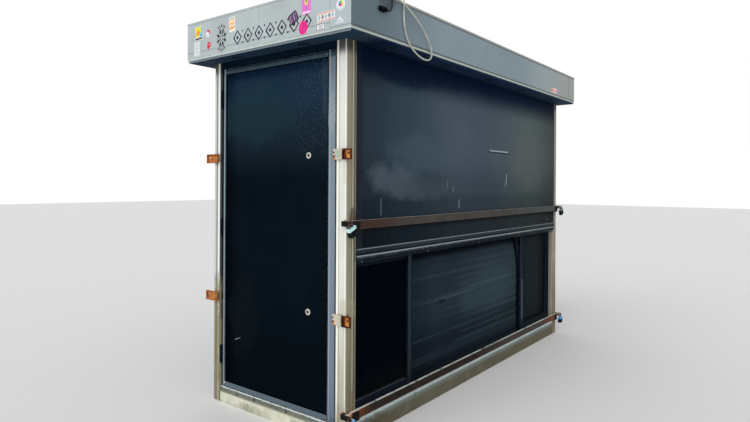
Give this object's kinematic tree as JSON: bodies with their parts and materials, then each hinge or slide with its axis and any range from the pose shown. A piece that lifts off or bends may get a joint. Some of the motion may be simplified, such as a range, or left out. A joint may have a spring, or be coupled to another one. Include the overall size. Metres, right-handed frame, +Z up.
{
  "type": "street kiosk",
  "caption": "Street kiosk on four corner posts with a boxed flat roof, a hinged end door, a closed serving flap and a roller shutter held by padlocked bars.",
  "frame": {"origin": "centre of the four posts at ground level", "axes": "+X along the counter, away from the door end; +Y from the serving front to the rear wall; +Z up"},
  "size_m": [3.544, 1.5139, 2.6359],
  "materials": {
    "corner_posts": "cream painted extrusion, weathered",
    "top_rails": "dark paint in deep shade",
    "front_cill": "galvanised with worn paint",
    "rear_cill": "galvanised with worn paint",
    "door_step": "cream cast stone, dirty",
    "far_step": "cream cast stone, dirty",
    "floor_joists": "black painted steel",
    "floor_panel": "worn birch plywood",
    "door_threshold": "worn grey paint",
    "door_frame": "dark blue-grey paint",
    "door_leaf_frame": "steel blue-grey paint, dusty",
    "door_panel": "near-black navy, speckled",
    "door_locks": "dull escutcheon ring",
    "door_hinge_leaves": "dark paint",
    "door_hinge_posts": "dark paint",
    "door_hasps": "pale beige paint, rust-stained",
    "hasp_boxes": "orange rust",
    "rear_brackets": "orange rust",
    "flap_skin": "slate grey-green satin paint",
    "flap_frame": "dark primer",
    "flap_bottom_rail": "slate paint, worn edge",
    "flap_hinge": "dark paint",
    "counter_rail": "slate paint, bright worn lip",
    "front_lower_rails": "dark blue paint",
    "front_panel_frames": "charcoal paint",
    "front_panes": "near-black paint",
    "jamb_trims": "pale weathered trim",
    "shutter_guides": "slate paint",
    "shutter_laths": "dark slate-teal paint",
    "shutter_bottom_bar": "dark slate-teal paint",
    "shutter_box": "galvanised sheet",
    "shutter_roll": "rolled curtain",
    "upper_lock_bar": "rusty dark brown steel",
    "lower_lock_bar": "rusty dark brown steel",
    "bar_staples": "black steel, rust-edged",
    "padlock_bodies": "black coated steel",
    "padlock_caps": "pale blue and bright blue plastic jackets",
    "padlock_shackles": "dull plated steel",
    "rear_frame": "steel blue-grey paint",
    "rear_panes": "near-black navy paint",
    "far_frame": "steel blue-grey paint",
    "far_pane": "near-black navy paint",
    "soffit_panel": "grey paint, grimy",
    "soffit_lights": "dark round fitting",
    "fascia_front": "mid-grey satin paint",
    "fascia_rear": "mid-grey satin paint",
    "fascia_ends": "pale silver grey, stickered",
    "fascia_trims": "dull trim, weathered",
    "roof_deck": "grey roofing sheet",
    "deck_glands": "black plastic",
    "cable_gland": "black plastic",
    "gland_lead": "black cable sheath",
    "cable_loop": "pale grey cable sheath, dirty"
  },
  "bodies": {
    "kiosk": {"corner_posts": "corner_posts", "top_rails": "top_rails", "front_cill": "front_cill", "rear_cill": "rear_cill", "door_step": "door_step", "far_step": "far_step", "floor_joists": "floor_joists", "floor_panel": "floor_panel", "door_threshold": "door_threshold", "door_frame": "door_frame", "door_hinge_posts": "door_hinge_posts", "hasp_boxes": "hasp_boxes", "rear_brackets": "rear_brackets", "flap_skin": "flap_skin", "flap_frame": "flap_frame", "flap_bottom_rail": "flap_bottom_rail", "flap_hinge": "flap_hinge", "counter_rail": "counter_rail", "front_lower_rails": "front_lower_rails", "front_panel_frames": "front_panel_frames", "front_panes": "front_panes", "jamb_trims": "jamb_trims", "shutter_guides": "shutter_guides", "shutter_laths": "shutter_laths", "shutter_bottom_bar": "shutter_bottom_bar", "shutter_box": "shutter_box", "shutter_roll": "shutter_roll", "upper_lock_bar": "upper_lock_bar", "lower_lock_bar": "lower_lock_bar", "bar_staples": "bar_staples", "padlock_bodies": "padlock_bodies", "padlock_caps": "padlock_caps", "padlock_shackles": "padlock_shackles", "rear_frame": "rear_frame", "rear_panes": "rear_panes", "far_frame": "far_frame", "far_pane": "far_pane", "soffit_panel": "soffit_panel", "soffit_lights": "soffit_lights", "fascia_front": "fascia_front", "fascia_rear": "fascia_rear", "fascia_ends": "fascia_ends", "fascia_trims": "fascia_trims", "roof_deck": "roof_deck", "deck_glands": "deck_glands", "cable_gland": "cable_gland", "gland_lead": "gland_lead", "cable_loop": "cable_loop"},
    "door": {"door_leaf_frame": "door_leaf_frame", "door_panel": "door_panel", "door_locks": "door_locks", "door_hinge_leaves": "door_hinge_leaves", "door_hasps": "door_hasps"}
  },
  "joints": [
    {"name": "door_hinge", "type": "hinge", "parent": "kiosk", "child": "door", "pos_m": [-1.648, 0.5155, 1.2], "axis": [0, 0, -1], "range_deg": [0, 100]}
  ]
}
